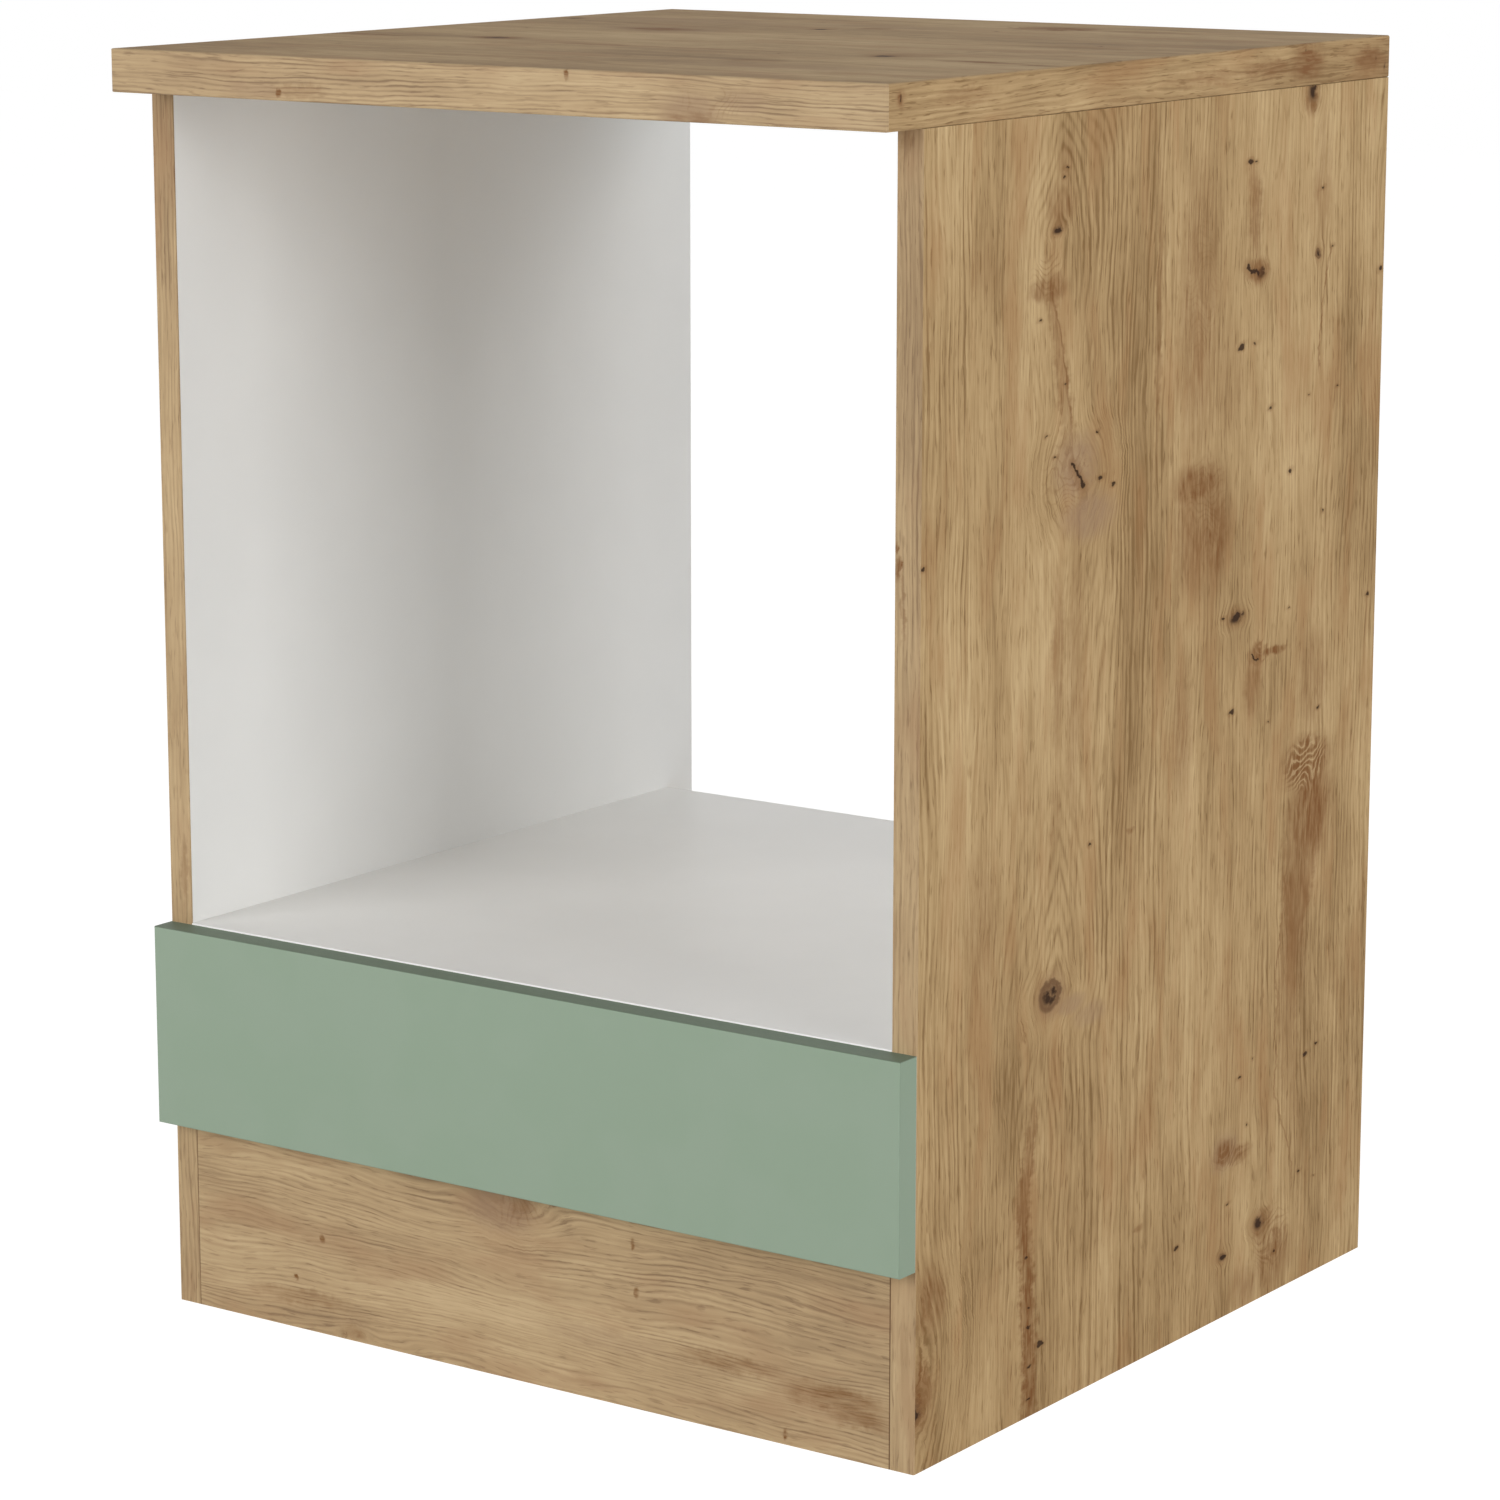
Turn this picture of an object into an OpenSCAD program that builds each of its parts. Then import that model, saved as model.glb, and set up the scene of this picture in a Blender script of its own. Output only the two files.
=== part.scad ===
// Built-in oven cabinet, a 600 mm base unit. Two side panels stand on the floor and
// carry a worktop. Between them are an open niche for the oven, the shelf that the
// oven stands on, a fixed fascia below the niche and a flush plinth.
// Millimetres, on the floor at the middle of the outline: X right, Y back, Z up.

/* [Cabinet] */
// Width over both side panels, and of the worktop
cabinet_w = 600; // [450:10:900]
// Height of the side panels, from the floor to the worktop
side_h = 822; // [700:1:1000]
// Depth of the side panels, edging included
side_d = 570; // [450:1:640]
// Thickness of the carcass boards
board_t = 18; // [16:1:22]
// Thickness of the edging on the carcass boards
edging_t = 1; // [0.6:0.1:2]

/* [Worktop] */
// Thickness of the worktop
worktop_t = 28; // [22:1:40]
// How far the worktop stands out in front of the side panels
worktop_overhang = 38; // [20:1:60]
// Thickness of the edging round the worktop
worktop_edging_t = 2; // [1.5:0.1:3]
// Radius along the upper and lower front edges of the worktop
worktop_edge_r = 1.5; // [0.5:0.1:1.5]

/* [Oven shelf] */
// Height of the shelf's upper face above the floor
shelf_top = 267; // [240:1:400]
// Gap behind the shelf for the oven's cable and warm air
shelf_back_gap = 32; // [10:1:80]

/* [Front] */
// Height of the plinth board
plinth_h = 148; // [110:1:170]
// How far the fascia laps over the plinth
fascia_lap = 18; // [5:1:40]
// How far the shelf stands above the fascia
fascia_reveal = 1; // [0:0.5:4]
// Thickness of the fascia
fascia_t = 18; // [16:1:22]
// Radius along the front edges of the fascia
fascia_edge_r = 1; // [0.5:0.1:2]

/* [Rails] */
// Width of the flat rail under the back of the worktop
top_rail_w = 100; // [80:1:160]
// Height of the upright rail under the back of the shelf
rear_rail_h = 100; // [80:1:120]

/* [Cam fittings] */
// Diameter of the bore for a cam lock
cam_bore_d = 15; // [12:0.5:18]
// Distance from a board's end to the axis of its cam locks
cam_setback = 24; // [20:1:34]
// Diameter of the bore in a board's end for the cam bolt
end_bore_d = 8; // [7:0.5:9]
// Diameter of the bore in a side panel for the cam bolt's thread
thread_bore_d = 5; // [4:0.5:6]
// Depth of the bore in a side panel for the cam bolt's thread
thread_bore_depth = 12; // [10:0.5:13]
// Diameter of the cam bolt's neck
neck_d = 4.2; // [3.6:0.1:4.6]

/* [Dowels] */
// Diameter of the wooden dowels
dowel_d = 8; // [6:1:10]
// Length of the wooden dowels
dowel_len = 30; // [25:1:35]
// How deep a dowel sits in the face of a board
dowel_in_face = 11.5; // [9:0.5:13]

/* [Brackets] */
// Length of both legs of a fascia bracket
fascia_bracket_leg = 28; // [26:1:40]
// Length of both legs of a worktop bracket
worktop_bracket_leg = 20; // [18:1:30]
// Width of all brackets
bracket_w = 16; // [14:1:20]
// Thickness of the bracket steel
bracket_t = 2; // [1.5:0.1:3]
// Distance of the worktop brackets behind the front of the side panels
worktop_bracket_inset = 200; // [120:5:300]

/* [Screws] */
// Diameter of the screws
screw_d = 4; // [3:0.5:4.5]
// Length of the bracket screws below the head
bracket_screw_len = 15; // [12:1:15]
// Length of the screws up through the rear rail
rail_screw_len = 35; // [30:1:38]

/* [Hidden] */
$fn = 48;

// Finishes
oak = "#B4976D";
oak_edge = "#BCA078";
white = "#ECEAE6";
sage = "#90A48E";
zinc = "#A9ABAD";
steel = "#B9BBBE";
beech = "#D3B184";

edging_r = edging_t * 0.6;

// Clearances
radial_gap = 0.05;   // round a dowel, a thread or a screw
loose_gap = 0.3;     // round a cam lock and round a bolt's head and neck
end_gap = 0.3;       // beyond the end of anything in a blind bore
cut = 1;             // how far a cutter reaches past a face

// Main planes
total_d = side_d + worktop_overhang;
y_back = total_d / 2;
y_front = y_back - side_d;
y_worktop_front = -total_d / 2;
x_out = cabinet_w / 2;
x_in = x_out - board_t;
shelf_bottom = shelf_top - board_t;
shelf_mid = shelf_top - board_t / 2;
y_shelf_back = y_back - shelf_back_gap;
fascia_bottom = plinth_h - fascia_lap;
fascia_top = shelf_top - fascia_reveal;
fascia_mid = (fascia_bottom + fascia_top) / 2;
worktop_mid = side_h + worktop_t / 2;
rail_bottom = side_h - board_t;
rail_mid_y = y_back - top_rail_w / 2;

// Boring plan: a dowel stands one or two pitches of 32 mm from its cam bolt
pitch = 32;
first_bore = 37;
shelf_cam_y = [y_front + first_bore + pitch, y_shelf_back - first_bore - pitch];
shelf_dowel_y = [y_front + first_bore, (y_front + y_shelf_back) / 2, y_shelf_back - first_bore];
top_rail_dowel_y = [rail_mid_y - pitch, rail_mid_y + pitch];
rear_rail_y = y_shelf_back - board_t / 2;
rear_rail_z = shelf_bottom - rear_rail_h / 2;
rear_rail_dowel_z = [rear_rail_z - pitch, rear_rail_z + pitch];
plinth_y = y_front + board_t / 2;
plinth_z = plinth_h / 2;
plinth_dowel_z = [plinth_z - pitch, plinth_z + pitch];
worktop_dowel_y = [y_front + 60, y_back - top_rail_w - 60];
side_mid_x = x_out - board_t / 2;

// Cam lock and cam bolt
cam_h = board_t / 2 + 3.5;
cam_r = cam_bore_d / 2 - loose_gap / 2;
bolt_head_r = 3.2;
bolt_head_len = 4;
collar_r = end_bore_d / 2 - loose_gap;
collar_len = 1.5;
thread_r = thread_bore_d / 2 - radial_gap;
thread_core_r = thread_r - 0.5;
thread_pitch = 2;
thread_len = thread_bore_depth - end_gap - 0.7;
cross_slot = 1.2;

// Brackets and screws
bend_r = 1.5;
bracket_corner_r = 3;
bracket_hole_d = screw_d + 0.4;
bracket_margin = 14;
upper_bracket_z = shelf_bottom - bracket_margin;
lower_bracket_z = plinth_h + bracket_margin;
fascia_bracket_holes = [fascia_bracket_leg - 17, fascia_bracket_leg - 6];
worktop_bracket_holes = [worktop_bracket_leg - 8];
worktop_bracket_y = y_front + worktop_bracket_inset;
rail_screw_x = x_in / 2;
pan_head_r = screw_d * 0.95;
pan_head_h = 2.2;
sunk_head_r = screw_d;
sunk_head_h = screw_d / 2;
screw_tip = 3;

// Shapes that repeat

// A strip of edging seen end on: its back lies on the X axis and its face is at -Y,
// with both corners of the face rounded
module edging_profile(w, t, r) {
    intersection() {
        square_from([-w / 2, -t], [w / 2, 0]);
        union() {
            square_from([-w / 2, r - t], [w / 2, r]);
            square_from([r - w / 2, -t], [w / 2 - r, r]);
            for (s = [-1, 1])
                translate([s * (w / 2 - r), r - t])
                    circle(r);
        }
    }
}

// A straight strip along X, centred on Z, with its back at Y = 0
module edging_strip(len, w, t, r) {
    translate([-len / 2, 0, 0])
        rotate([90, 0, 90])
            linear_extrude(len)
                rotate(-90)
                    edging_profile(w, t, r);
}

// The same strip with its ends rounded like its long edges
module round_ended_strip(len, w, t, r) {
    intersection() {
        edging_strip(len, w, t, r);
        translate([0, 0, -w / 2])
            linear_extrude(w)
                edging_profile(len, t, r);
    }
}

module square_from(a, b) {
    translate(a)
        square(b - a);
}

module box_from(a, b) {
    translate(a)
        cube(b - a);
}

// Puts what is drawn for the left end of a board at the left end, the right or both.
// In that drawing X = 0 is the side panel's inner face and X runs into the board.
module at_ends(ends = [-1, 1]) {
    for (s = ends)
        mirror([s > 0 ? 1 : 0, 0, 0])
            translate([-x_in, 0, 0])
                children();
}

// A flat board's joint: the cam lock opens downwards
module flat_joint(y, z) {
    translate([0, y, z])
        children();
}

// An upright board's joint: the cam lock opens to the back
module upright_joint(y, z) {
    translate([0, y, z])
        rotate([90, 0, 0])
            children();
}

// A bar along Y with four rounded edges
module rounded_bar(w, h, r, len) {
    rotate([90, 0, 0])
        linear_extrude(len, center = true) {
            square([w, h - 2 * r], center = true);
            square([w - 2 * r, h], center = true);
            for (x = [r - w / 2, w / 2 - r], z = [r - h / 2, h / 2 - r])
                translate([x, z])
                    circle(r);
        }
}

// Fittings, drawn at a left end

module cam_bore() {
    translate([cam_setback, 0, -board_t / 2 - cut])
        cylinder(d = cam_bore_d, h = cam_h + end_gap + cut);
    translate([-cut, 0, 0])
        rotate([0, 90, 0])
            cylinder(d = end_bore_d, h = cam_setback + cut);
}

module thread_bore() {
    translate([-thread_bore_depth, 0, 0])
        rotate([0, 90, 0])
            cylinder(d = thread_bore_d, h = thread_bore_depth + cut);
}

module dowel_bore() {
    translate([-dowel_in_face - end_gap, 0, 0])
        rotate([0, 90, 0])
            cylinder(d = dowel_d + 2 * radial_gap, h = dowel_len + 2 * end_gap);
}

// Slots for a cross-head driver, cut down from the XY plane
module cross_recess(span, depth) {
    for (a = [0, 90])
        rotate([0, 0, a])
            translate([-span / 2, -cross_slot / 2, -depth])
                cube([span, cross_slot, depth + cut]);
}

// The cam grips the bolt's head in a pocket that is deeper on one side, so that
// turning it a quarter pulls the bolt in. The head enters by the wide window.
module cam_lock() {
    pocket_r = bolt_head_r + loose_gap;
    slot_w = neck_d + 2 * loose_gap;
    top = cam_h - board_t / 2;
    translate([cam_setback, 0, 0])
        difference() {
            translate([0, 0, -board_t / 2])
                cylinder(r = cam_r, h = cam_h);
            for (offset_y = [0, 1.6])
                translate([0, offset_y, -pocket_r])
                    cylinder(r = pocket_r, h = pocket_r + top + cut);
            box_from([-cam_r - cut, -slot_w / 2, -slot_w / 2], [0, slot_w / 2, top + cut]);
            box_from([-cam_r - cut, 0, -slot_w / 2], [0, cam_r + cut, top + cut]);
            box_from([-pocket_r, 0, -pocket_r], [pocket_r, cam_r + cut, top + cut]);
            translate([0, 0, -board_t / 2])
                rotate([180, 0, 0])
                    cross_recess(cam_r, 2.6);
        }
}

// Revolved about its own axis, from the thread's tip to the head
module cam_bolt() {
    ridges = floor((thread_len - 1) / thread_pitch);
    head_end = cam_setback + bolt_head_len / 2;
    profile = [
        [0, -thread_len], [thread_core_r - 0.6, -thread_len], [thread_core_r, 0.6 - thread_len],
        for (i = [0 : ridges - 1])
            for (p = [[0.3, thread_core_r], [1.2, thread_r], [1.4, thread_r], [1.8, thread_core_r]])
                [p[1], 0.6 - thread_len + i * thread_pitch + p[0]],
        [thread_core_r, 0], [collar_r, 0], [collar_r, collar_len],
        [neck_d / 2, collar_len], [neck_d / 2, head_end - bolt_head_len],
        [bolt_head_r, head_end - bolt_head_len + 0.9], [bolt_head_r, head_end - 0.9],
        [bolt_head_r - 1, head_end], [0, head_end]
    ];
    rotate([0, 90, 0])
        rotate_extrude()
            polygon(profile);
}

// Beech dowel with glue flutes and tapered ends
module dowel() {
    flutes = 12;
    flute_r = 0.6;
    taper = 1.5;
    translate([-dowel_in_face, 0, 0])
        rotate([0, 90, 0])
            intersection() {
                linear_extrude(dowel_len)
                    difference() {
                        circle(d = dowel_d);
                        for (i = [0 : flutes - 1])
                            rotate(i * 360 / flutes)
                                translate([dowel_d / 2 + flute_r / 3, 0])
                                    circle(flute_r);
                    }
                rotate_extrude()
                    polygon([
                        [0, 0], [dowel_d / 2 - 0.8, 0], [dowel_d / 2 + 0.1, taper],
                        [dowel_d / 2 + 0.1, dowel_len - taper], [dowel_d / 2 - 0.8, dowel_len],
                        [0, dowel_len]
                    ]);
            }
}

// Screws point along +Z. Z = 0 is the face that the head bears on, or lies flush with.

module screw_shank(len) {
    cylinder(d = screw_d, h = len - screw_tip);
    translate([0, 0, len - screw_tip])
        cylinder(r1 = screw_d / 2, r2 = 0.3, h = screw_tip);
}

module pan_screw(len) {
    dome_r = (pan_head_r ^ 2 + pan_head_h ^ 2) / (2 * pan_head_h);
    difference() {
        union() {
            screw_shank(len);
            intersection() {
                translate([0, 0, dome_r - pan_head_h])
                    sphere(dome_r);
                translate([0, 0, -pan_head_h])
                    cylinder(r = pan_head_r, h = pan_head_h);
            }
        }
        translate([0, 0, -pan_head_h])
            rotate([180, 0, 0])
                cross_recess(screw_d, pan_head_h * 0.8);
    }
}

module sunk_screw(len) {
    difference() {
        union() {
            screw_shank(len);
            cylinder(r1 = sunk_head_r, r2 = screw_d / 2, h = sunk_head_h);
        }
        rotate([180, 0, 0])
            cross_recess(screw_d, sunk_head_h * 0.8);
    }
}

module screw_bore(len, start = 0) {
    translate([0, 0, -cut])
        cylinder(d = screw_d + 2 * radial_gap, h = start + len + end_gap + cut);
}

module sunk_bore(len) {
    screw_bore(len);
    translate([0, 0, -cut])
        cylinder(r = sunk_head_r + loose_gap, h = cut);
    cylinder(r1 = sunk_head_r + loose_gap, r2 = screw_d / 2 + radial_gap,
             h = sunk_head_h + loose_gap);
}

// Angle brackets. The corner is at the origin, one leg runs along X and one along Y,
// and the width is centred on Z.

module bracket_leg(leg) {
    r = bracket_corner_r;
    bend = bracket_t + bend_r;
    rotate([90, 0, 0])
        translate([0, 0, -bracket_t])
            linear_extrude(bracket_t) {
                square_from([bend, -bracket_w / 2], [leg - r, bracket_w / 2]);
                square_from([leg - 2 * r, r - bracket_w / 2], [leg, bracket_w / 2 - r]);
                for (s = [-1, 1])
                    translate([leg - r, s * (bracket_w / 2 - r)])
                        circle(r);
            }
}

module on_second_leg() {
    mirror([1, -1, 0])
        children();
}

module angle_bracket(leg, holes) {
    bend = bracket_t + bend_r;
    difference() {
        union() {
            bracket_leg(leg);
            on_second_leg()
                bracket_leg(leg);
            translate([0, 0, -bracket_w / 2])
                linear_extrude(bracket_w)
                    intersection() {
                        square(bend);
                        translate([bend, bend])
                            difference() {
                                circle(bend);
                                circle(bend_r);
                            }
                    }
        }
        for (h = holes) {
            bracket_hole(h);
            on_second_leg()
                bracket_hole(h);
        }
    }
}

module bracket_hole(h) {
    translate([h, -cut, 0])
        rotate([-90, 0, 0])
            cylinder(d = bracket_hole_d, h = bracket_t + 2 * cut);
}

// What goes through a bracket's holes, drawn as a screw that points along +Z
module through_bracket(holes) {
    for (h = holes) {
        translate([h, bracket_t, 0])
            rotate([90, 0, 0])
                children();
        on_second_leg()
            translate([h, bracket_t, 0])
                rotate([90, 0, 0])
                    children();
    }
}

module at_fascia_bracket(z) {
    translate([0, y_front, z])
        children();
}

module at_worktop_bracket() {
    translate([0, worktop_bracket_y, side_h])
        rotate([-90, 0, 0])
            children();
}

// The whole boring plan, at a left end

module at_shelf_cams() {
    for (y = shelf_cam_y)
        flat_joint(y, shelf_mid)
            children();
}

module at_shelf_dowels() {
    for (y = shelf_dowel_y)
        flat_joint(y, shelf_mid)
            children();
}

module at_plinth_cam() {
    upright_joint(plinth_y, plinth_z)
        children();
}

module at_plinth_dowels() {
    for (z = plinth_dowel_z)
        upright_joint(plinth_y, z)
            children();
}

module at_top_rail_cam() {
    flat_joint(rail_mid_y, side_h - board_t / 2)
        children();
}

module at_top_rail_dowels() {
    for (y = top_rail_dowel_y)
        flat_joint(y, side_h - board_t / 2)
            children();
}

module at_rear_rail_cam() {
    upright_joint(rear_rail_y, rear_rail_z)
        children();
}

module at_rear_rail_dowels() {
    for (z = rear_rail_dowel_z)
        upright_joint(rear_rail_y, z)
            children();
}

// A worktop dowel stands in the top edge of a side panel and a fascia dowel lies in
// its front edge. Both are drawn with X = 0 on that edge, running into the panel.
module at_worktop_dowels() {
    for (y = worktop_dowel_y)
        translate([x_in - side_mid_x, y, side_h])
            rotate([0, 90, 0])
                children();
}

module at_fascia_dowel() {
    translate([x_in - side_mid_x, y_front, fascia_mid])
        rotate([0, 0, 90])
            children();
}

module side_bores() {
    at_shelf_cams() thread_bore();
    at_shelf_dowels() dowel_bore();
    at_plinth_cam() thread_bore();
    at_plinth_dowels() dowel_bore();
    at_top_rail_cam() thread_bore();
    at_top_rail_dowels() dowel_bore();
    at_rear_rail_cam() thread_bore();
    at_rear_rail_dowels() dowel_bore();
    at_worktop_dowels() dowel_bore();
    at_fascia_dowel() dowel_bore();
    bracket_bores();
}

module bracket_bores() {
    for (z = [lower_bracket_z, upper_bracket_z])
        at_fascia_bracket(z)
            through_bracket(fascia_bracket_holes)
                screw_bore(bracket_screw_len);
    at_worktop_bracket()
        through_bracket(worktop_bracket_holes)
            screw_bore(bracket_screw_len);
}

module at_rail_screws() {
    for (s = [-1, 1])
        translate([s * rail_screw_x, rail_mid_y, rail_bottom])
            children();
}

// Boards

module worktop() {
    color(oak)
        difference() {
            box_from([worktop_edging_t - x_out, y_worktop_front + worktop_edging_t, side_h],
                     [x_out - worktop_edging_t, y_back, side_h + worktop_t]);
            at_ends() {
                at_worktop_dowels() dowel_bore();
                bracket_bores();
            }
            at_rail_screws() sunk_bore(rail_screw_len);
        }
}

// The front strip covers the front ends of the side strips. Where they meet, its own
// ends carry their rounding.
module worktop_front_edging() {
    color(oak_edge)
        intersection() {
            translate([0, y_worktop_front + worktop_edging_t, worktop_mid])
                round_ended_strip(cabinet_w, worktop_t, worktop_edging_t, worktop_edge_r);
            translate([0, y_worktop_front, worktop_mid])
                rounded_bar(cabinet_w, worktop_t, worktop_edge_r, 4 * worktop_edging_t);
        }
}

module worktop_side_edging(side) {
    color(oak_edge)
        mirror([side > 0 ? 1 : 0, 0, 0])
            translate([worktop_edging_t - x_out, y_back - (total_d - worktop_edging_t) / 2,
                       worktop_mid])
                rotate([0, 0, -90])
                    edging_strip(total_d - worktop_edging_t, worktop_t, worktop_edging_t,
                                 worktop_edge_r);
}

module side_panel(side) {
    color(oak)
        difference() {
            mirror([side > 0 ? 1 : 0, 0, 0])
                box_from([-x_out, y_front + edging_t, 0], [-x_in, y_back, side_h]);
            at_ends([side]) side_bores();
        }
}

module side_edging(side) {
    color(oak_edge)
        difference() {
            translate([side * side_mid_x, y_front + edging_t, 0])
                linear_extrude(side_h)
                    edging_profile(board_t, edging_t, edging_r);
            at_ends([side])
                at_fascia_dowel() dowel_bore();
        }
}

module oven_shelf() {
    color(white)
        difference() {
            box_from([-x_in, y_front + edging_t, shelf_bottom], [x_in, y_shelf_back, shelf_top]);
            at_ends() {
                at_shelf_cams() cam_bore();
                at_shelf_dowels() dowel_bore();
            }
        }
}

module oven_shelf_edging() {
    color(white)
        translate([0, y_front + edging_t, shelf_mid])
            edging_strip(2 * x_in, board_t, edging_t, edging_r);
}

// The fascia is a board whose four front edges are rounded
module fascia() {
    color(sage)
        difference() {
            translate([0, y_front, fascia_mid])
                round_ended_strip(cabinet_w, fascia_top - fascia_bottom, fascia_t,
                                  fascia_edge_r);
            at_ends() {
                at_fascia_dowel() dowel_bore();
                for (z = [lower_bracket_z, upper_bracket_z])
                    at_fascia_bracket(z)
                        through_bracket(fascia_bracket_holes)
                            screw_bore(bracket_screw_len);
            }
        }
}

module plinth() {
    color(oak)
        difference() {
            box_from([-x_in, y_front, 0], [x_in, y_front + board_t, plinth_h]);
            at_ends() {
                at_plinth_cam() cam_bore();
                at_plinth_dowels() dowel_bore();
            }
        }
}

module top_rear_rail() {
    color(white)
        difference() {
            box_from([-x_in, y_back - top_rail_w + edging_t, rail_bottom], [x_in, y_back, side_h]);
            at_ends() {
                at_top_rail_cam() cam_bore();
                at_top_rail_dowels() dowel_bore();
            }
            at_rail_screws() sunk_bore(rail_screw_len);
        }
}

module top_rear_rail_edging() {
    color(white)
        translate([0, y_back - top_rail_w + edging_t, side_h - board_t / 2])
            edging_strip(2 * x_in, board_t, edging_t, edging_r);
}

module shelf_rear_rail() {
    color(white)
        difference() {
            box_from([-x_in, y_shelf_back - board_t, shelf_bottom - rear_rail_h],
                     [x_in, y_shelf_back, shelf_bottom]);
            at_ends() {
                at_rear_rail_cam() cam_bore();
                at_rear_rail_dowels() dowel_bore();
            }
        }
}

// Fittings in place

module cam_locks() {
    color(zinc)
        at_ends()
            children();
}

module cam_bolts() {
    color(steel)
        at_ends()
            children();
}

module dowels() {
    color(beech)
        at_ends()
            children();
}

module fascia_bracket(side, z) {
    color(steel)
        at_ends([side])
            at_fascia_bracket(z)
                angle_bracket(fascia_bracket_leg, fascia_bracket_holes);
}

module fascia_bracket_screws() {
    color(steel)
        at_ends()
            for (z = [lower_bracket_z, upper_bracket_z])
                at_fascia_bracket(z)
                    through_bracket(fascia_bracket_holes)
                        pan_screw(bracket_screw_len);
}

module worktop_bracket(side) {
    color(steel)
        at_ends([side])
            at_worktop_bracket()
                angle_bracket(worktop_bracket_leg, worktop_bracket_holes);
}

module worktop_bracket_screws() {
    color(steel)
        at_ends()
            at_worktop_bracket()
                through_bracket(worktop_bracket_holes)
                    pan_screw(bracket_screw_len);
}

module worktop_rail_screws() {
    color(steel)
        at_rail_screws()
            sunk_screw(rail_screw_len);
}

worktop();
worktop_front_edging();
worktop_side_edging(-1);  // worktop_left_edging
worktop_side_edging(1);  // worktop_right_edging
side_panel(-1);  // left_side_panel
side_edging(-1);  // left_side_edging
side_panel(1);  // right_side_panel
side_edging(1);  // right_side_edging
oven_shelf();
oven_shelf_edging();
fascia();
plinth();
top_rear_rail();
top_rear_rail_edging();
shelf_rear_rail();
cam_locks() at_shelf_cams() cam_lock();  // shelf_cam_locks
cam_bolts() at_shelf_cams() cam_bolt();  // shelf_cam_bolts
dowels() at_shelf_dowels() dowel();  // shelf_dowels
cam_locks() at_plinth_cam() cam_lock();  // plinth_cam_locks
cam_bolts() at_plinth_cam() cam_bolt();  // plinth_cam_bolts
dowels() at_plinth_dowels() dowel();  // plinth_dowels
cam_locks() at_top_rail_cam() cam_lock();  // top_rail_cam_locks
cam_bolts() at_top_rail_cam() cam_bolt();  // top_rail_cam_bolts
dowels() at_top_rail_dowels() dowel();  // top_rail_dowels
cam_locks() at_rear_rail_cam() cam_lock();  // rear_rail_cam_locks
cam_bolts() at_rear_rail_cam() cam_bolt();  // rear_rail_cam_bolts
dowels() at_rear_rail_dowels() dowel();  // rear_rail_dowels
dowels() at_worktop_dowels() dowel();  // worktop_dowels
dowels() at_fascia_dowel() dowel();  // fascia_dowels
fascia_bracket(-1, upper_bracket_z);  // fascia_bracket_left_upper
fascia_bracket(-1, lower_bracket_z);  // fascia_bracket_left_lower
fascia_bracket(1, upper_bracket_z);  // fascia_bracket_right_upper
fascia_bracket(1, lower_bracket_z);  // fascia_bracket_right_lower
fascia_bracket_screws();
worktop_bracket(-1);  // worktop_bracket_left
worktop_bracket(1);  // worktop_bracket_right
worktop_bracket_screws();
worktop_rail_screws();
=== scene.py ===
import math
import random
from dataclasses import dataclass, replace

import bpy
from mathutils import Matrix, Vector

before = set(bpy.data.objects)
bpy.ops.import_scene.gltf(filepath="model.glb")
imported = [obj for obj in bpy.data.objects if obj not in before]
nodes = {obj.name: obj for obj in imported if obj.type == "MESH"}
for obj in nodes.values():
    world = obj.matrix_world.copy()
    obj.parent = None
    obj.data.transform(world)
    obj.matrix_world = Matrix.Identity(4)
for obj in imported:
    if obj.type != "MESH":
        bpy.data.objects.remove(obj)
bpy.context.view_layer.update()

MM_PER_METRE = 1000.0
SKIN = 0.4              # thickness of a printed or melamine facing, mm
SKIN_FADE = 0.05        # over which a facing ends at a cut edge, mm
JOINT_SHADE_WIDTH = 0.7        # width of the painted shade line where the plinth meets the sides, mm
EDGE_BREAK = 0.3        # how much the edges of a board are broken, mm


def ends(name):
    """The lowest and the highest x, y and z of a piece, in mm."""
    piece = nodes[name]
    corners = [piece.matrix_world @ Vector(corner) * MM_PER_METRE for corner in piece.bound_box]
    return Vector(map(min, zip(*corners))), Vector(map(max, zip(*corners)))


def paint(r, g, b):
    """A colour given as it looks on a screen, 0 to 255, as Blender's linear colour."""
    def linear(c):
        c /= 255
        return c / 12.92 if c <= 0.04045 else ((c + 0.055) / 1.055) ** 2.4
    return (linear(r), linear(g), linear(b), 1.0)


class Value:
    """A number that changes over a surface. Sums on it add Math nodes."""

    def __init__(self, finish, socket):
        self.finish, self.socket = finish, socket

    def math(self, operation, *others):
        return self.finish.math(operation, self, *others)

    def __add__(self, other):
        return self.math("ADD", other)

    __radd__ = __add__

    def __sub__(self, other):
        return self.math("SUBTRACT", other)

    def __rsub__(self, other):
        return self.finish.math("SUBTRACT", other, self)

    def __mul__(self, other):
        return self.math("MULTIPLY", other)

    __rmul__ = __mul__

    def __truediv__(self, other):
        return self.math("DIVIDE", other)

    def __pow__(self, other):
        return self.math("POWER", other)

    def __abs__(self):
        return self.math("ABSOLUTE")

    def above(self, low, high):
        """0 up to low, 1 from high on, smooth between."""
        return self.finish.node("ShaderNodeMapRange", {"interpolation_type": "SMOOTHSTEP"},
                                {"Value": self, "From Min": low, "From Max": high})

    def below(self, low, high):
        """1 up to low, 0 from high on, smooth between."""
        return self.finish.node("ShaderNodeMapRange", {"interpolation_type": "SMOOTHSTEP"},
                                {"Value": self, "From Min": low, "From Max": high,
                                 "To Min": 1.0, "To Max": 0.0})


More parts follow.
